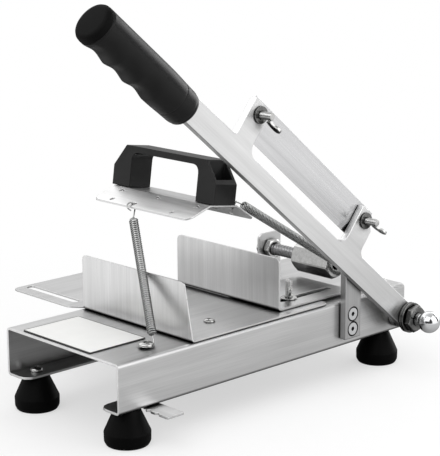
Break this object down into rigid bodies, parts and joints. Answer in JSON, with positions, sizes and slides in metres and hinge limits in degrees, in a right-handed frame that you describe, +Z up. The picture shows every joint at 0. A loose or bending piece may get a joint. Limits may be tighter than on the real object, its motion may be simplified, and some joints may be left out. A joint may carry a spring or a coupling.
{
  "type": "frozen meat slicer",
  "caption": "Hand lever slicer for frozen meat: sheet steel base with tray and sliding guide, sprung meat press and swinging arm with a long blade.",
  "frame": {"origin": "middle of the bounding box in plan, at the underside of the rubber feet", "axes": "+X along the base from the free end to the arm's pivot, +Z up, cutting side and arm towards -Y"},
  "size_m": [0.3564, 0.264, 0.3262],
  "materials": {
    "brushed_stainless": "brushed",
    "ground_blade_steel": "ground",
    "bright_steel": "bright plated",
    "spring_steel": "drawn wire",
    "blackened_steel": "blackened",
    "black_plastic": "fine grain moulded",
    "black_rubber": "matt moulded",
    "white_plate": "satin"
  },
  "bodies": {
    "base": {"ball_nut": "bright_steel", "base_channel": "brushed_stainless", "bracket_screw_left": "bright_steel", "bracket_screw_right": "bright_steel", "coupling_nut": "bright_steel", "foot_far_left": "black_rubber", "foot_far_right": "black_rubber", "foot_near_left": "black_rubber", "foot_near_right": "black_rubber", "foot_screw_far_left": "bright_steel", "foot_screw_far_right": "bright_steel", "foot_screw_near_left": "bright_steel", "foot_screw_near_right": "bright_steel", "guide_bolt": "bright_steel", "guide_post": "brushed_stainless", "guide_washer": "bright_steel", "label_plate": "white_plate", "left_spring": "spring_steel", "pivot_bolt": "bright_steel", "pivot_nut": "bright_steel", "pivot_spacer_1": "bright_steel", "pivot_spacer_2": "bright_steel", "pivot_spacer_3": "bright_steel", "pivot_washer_1": "bright_steel", "pivot_washer_2": "bright_steel", "post_screw_high": "bright_steel", "post_screw_low": "bright_steel", "right_spring": "spring_steel", "spring_screw_left": "bright_steel", "spring_screw_right": "bright_steel", "stud": "blackened_steel", "stud_bracket": "brushed_stainless", "stud_nut_far": "bright_steel", "stud_nut_near": "bright_steel", "tongue": "brushed_stainless", "tongue_screw": "bright_steel", "tray": "brushed_stainless", "tray_screw_far": "bright_steel", "tray_screw_near": "bright_steel"},
    "arm": {"arm_plate": "brushed_stainless", "blade": "ground_blade_steel", "blade_bolt_inner": "bright_steel", "blade_bolt_outer": "bright_steel", "blade_washer_inner": "bright_steel", "blade_washer_outer": "bright_steel", "grip": "black_plastic", "grip_cap": "black_plastic", "grip_collar": "black_plastic"},
    "right_guide": {"right_guide": "brushed_stainless"},
    "press": {"press_saddle": "brushed_stainless", "press_handle": "black_plastic", "handle_screw_near": "bright_steel", "handle_screw_far": "bright_steel"},
    "inner_wing_nut": {"blade_wing_nut_inner": "bright_steel"},
    "outer_wing_nut": {"blade_wing_nut_outer": "bright_steel"},
    "guide_wing_nut": {"guide_wing_nut": "bright_steel"}
  },
  "joints": [
    {"name": "arm_swing", "type": "hinge", "parent": "base", "child": "arm", "pos_m": [0.16522, -0.09718, 0.0425], "axis": [0, 1, 0], "range_deg": [-39, 45]},
    {"name": "press_slide", "type": "slide", "parent": "base", "child": "press", "axis": [0, 0, 1], "range_m": [-0.026, 0.035], "deforming": ["left_spring", "right_spring"]},
    {"name": "guide_slide", "type": "slide", "parent": "base", "child": "right_guide", "axis": [1, 0, 0], "range_m": [-0.045, 0.008]},
    {"name": "inner_wing_nut_spin", "type": "hinge", "parent": "arm", "child": "inner_wing_nut", "pos_m": [0.10778, -0.10578, 0.13544], "axis": [0, -1, 0], "continuous": true},
    {"name": "outer_wing_nut_spin", "type": "hinge", "parent": "arm", "child": "outer_wing_nut", "pos_m": [-0.01319, -0.10578, 0.23552], "axis": [0, -1, 0], "continuous": true},
    {"name": "guide_wing_nut_spin", "type": "hinge", "parent": "base", "child": "guide_wing_nut", "pos_m": [0.05972, -0.06048, 0.0773], "axis": [0, 0, 1], "continuous": true}
  ]
}
